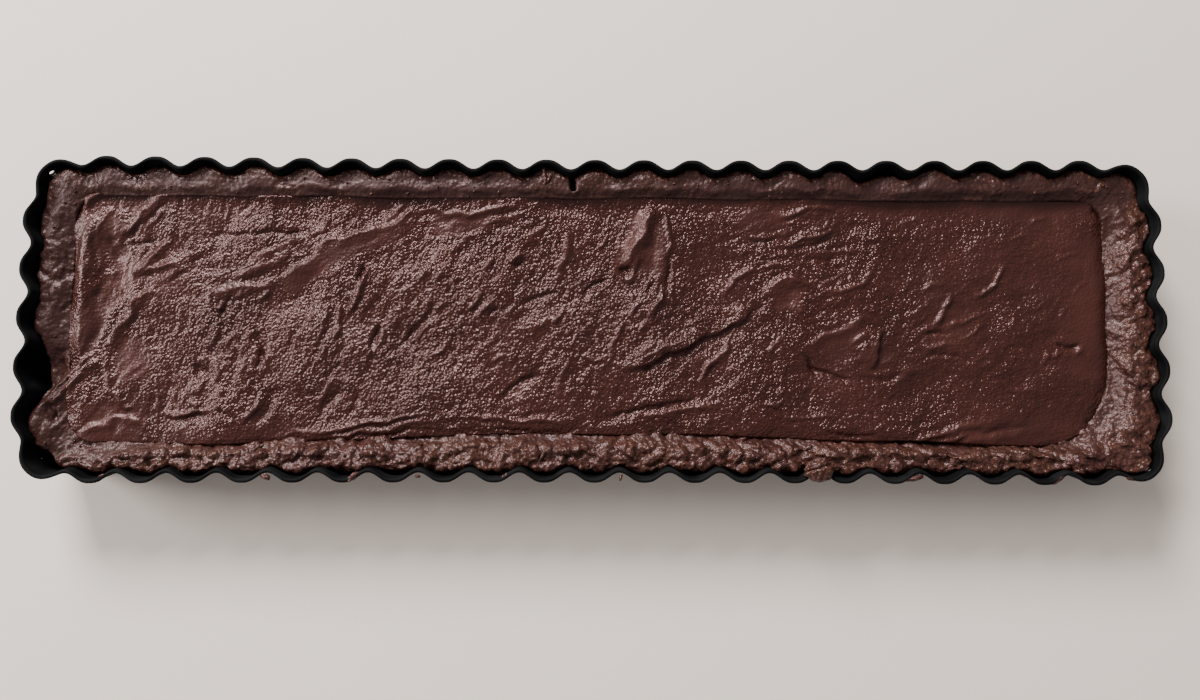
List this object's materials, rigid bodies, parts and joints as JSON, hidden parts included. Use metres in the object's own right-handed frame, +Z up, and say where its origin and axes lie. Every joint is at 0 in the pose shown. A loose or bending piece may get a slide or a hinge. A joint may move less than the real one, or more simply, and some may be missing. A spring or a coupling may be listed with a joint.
{
  "type": "chocolate tart",
  "caption": "Long rectangular chocolate tart with a rough cocoa pastry rim and a spread, swirled filling, baked in its own black fluted tin with a thin lip.",
  "frame": {"origin": "centre of the tin's flat underside, on the surface that it stands on", "axes": "+X along the long side, +Y towards the long side whose pastry rim has a crack, +Z up"},
  "size_m": [0.355, 0.1014, 0.0278],
  "materials": {
    "tin_coating": "black non-stick coating, low sheen",
    "cocoa_pastry": "baked cocoa shortcrust, dry, crumbly and matt",
    "chocolate_filling": "set chocolate cream, fine bubbly grain with a soft sheen"
  },
  "bodies": {
    "root": {"tin": "tin_coating", "pastry_case": "cocoa_pastry", "filling": "chocolate_filling"}
  },
  "joints": []
}
